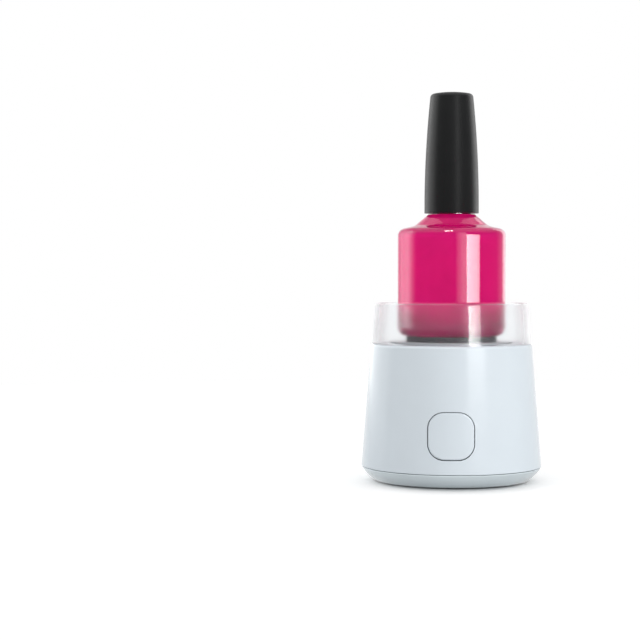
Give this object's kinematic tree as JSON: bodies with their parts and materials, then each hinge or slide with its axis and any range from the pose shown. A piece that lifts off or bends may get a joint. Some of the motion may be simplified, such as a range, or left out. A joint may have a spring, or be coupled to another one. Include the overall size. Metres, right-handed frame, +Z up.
{
  "type": "nail polish shaker machine",
  "caption": "Tapered desktop shaker with one push button; swirls a nail polish bottle that stands on a grip pad inside a frosted collar.",
  "frame": {"origin": "on the housing's axis, at the surface the feet stand on", "axes": "+Z up along the housing's axis, the button faces -Y, +X to the right seen from the button"},
  "size_m": [0.0562, 0.0562, 0.1217],
  "materials": {
    "shell_plastic": "gloss",
    "pan_plastic": "satin",
    "frosted_plastic": "frosted",
    "clear_glass": "polished",
    "pink_polish": "liquid",
    "black_plastic": "satin",
    "white_plastic": "moulded",
    "black_rubber": "matte",
    "steel": "machined",
    "brass": "plain",
    "board_green": "lacquered",
    "dark_plastic": "moulded",
    "cell_pouch": "foil",
    "tape": "foam",
    "lead_insulation": "smooth"
  },
  "bodies": {
    "machine": {"outer_housing": "shell_plastic", "base_pan": "pan_plastic", "guard_collar": "frosted_plastic", "button_guide": "white_plastic", "battery_connector": "white_plastic", "motor_endcap": "white_plastic", "pin_rollers": "white_plastic", "rubber_feet": "black_rubber", "housing_screws": "steel", "board_screws": "steel", "bracket_screws": "steel", "motor_screws": "steel", "guide_pins": "steel", "motor_can": "steel", "motor_bracket": "steel", "usb_shell": "steel", "motor_magnets": "steel", "motor_bushes": "brass", "motor_brushes": "brass", "motor_terminals": "brass", "main_board": "board_green", "board_chips": "dark_plastic", "usb_tongue": "dark_plastic", "switch_body": "dark_plastic", "battery_cell": "cell_pouch", "battery_tape": "tape", "battery_leads": "lead_insulation", "motor_leads": "lead_insulation"},
    "rotor": {"motor_shaft": "steel", "armature_core": "steel", "armature_windings": "brass", "commutator": "brass", "eccentric_hub": "steel", "hub_set_screw": "steel", "bearing_inner_ring": "steel"},
    "ball_cage": {"bearing_balls": "steel", "bearing_cage": "brass"},
    "carrier": {"orbit_carrier": "white_plastic", "bearing_outer_ring": "steel", "platform": "white_plastic", "platform_screws": "steel", "grip_pad": "black_rubber"},
    "bottle": {"bottle_glass": "clear_glass", "polish": "pink_polish", "mixing_balls": "steel"},
    "cap": {"bottle_cap": "black_plastic", "cap_liner": "black_plastic", "cap_gasket": "black_rubber", "brush_stem": "dark_plastic", "brush_bristles": "dark_plastic"},
    "button": {"button": "shell_plastic"},
    "plunger": {"switch_plunger": "dark_plastic"}
  },
  "joints": [
    {"name": "rotor_spin", "type": "hinge", "parent": "machine", "child": "rotor", "pos_m": [0, 0, 0.025], "axis": [0, 0, 1], "continuous": true},
    {"name": "carrier_pivot", "type": "hinge", "parent": "rotor", "child": "carrier", "pos_m": [0, 0.001, 0.0396], "axis": [0, 0, 1], "continuous": true},
    {"name": "cage_spin", "type": "hinge", "parent": "rotor", "child": "ball_cage", "pos_m": [0, 0.001, 0.0396], "axis": [0, 0, 1], "continuous": true},
    {"name": "bottle_lift", "type": "slide", "parent": "carrier", "child": "bottle", "axis": [0, 0, 1], "range_m": [0, 0.03]},
    {"name": "cap_lift", "type": "slide", "parent": "bottle", "child": "cap", "axis": [0, 0, 1], "range_m": [0, 0.045]},
    {"name": "button_press", "type": "slide", "parent": "machine", "child": "button", "axis": [0, 1, 0], "range_m": [0, 0.0006], "stiffness_N_per_m": 800, "springref_m": -0.0005},
    {"name": "plunger_press", "type": "slide", "parent": "machine", "child": "plunger", "axis": [0, 1, 0], "range_m": [0, 0.0006]}
  ],
  "couplings": [
    {"joint": "carrier_pivot", "follows": "rotor_spin", "ratio": -1},
    {"joint": "cage_spin", "follows": "rotor_spin", "ratio": -0.6333},
    {"joint": "plunger_press", "follows": "button_press", "ratio": 1}
  ]
}
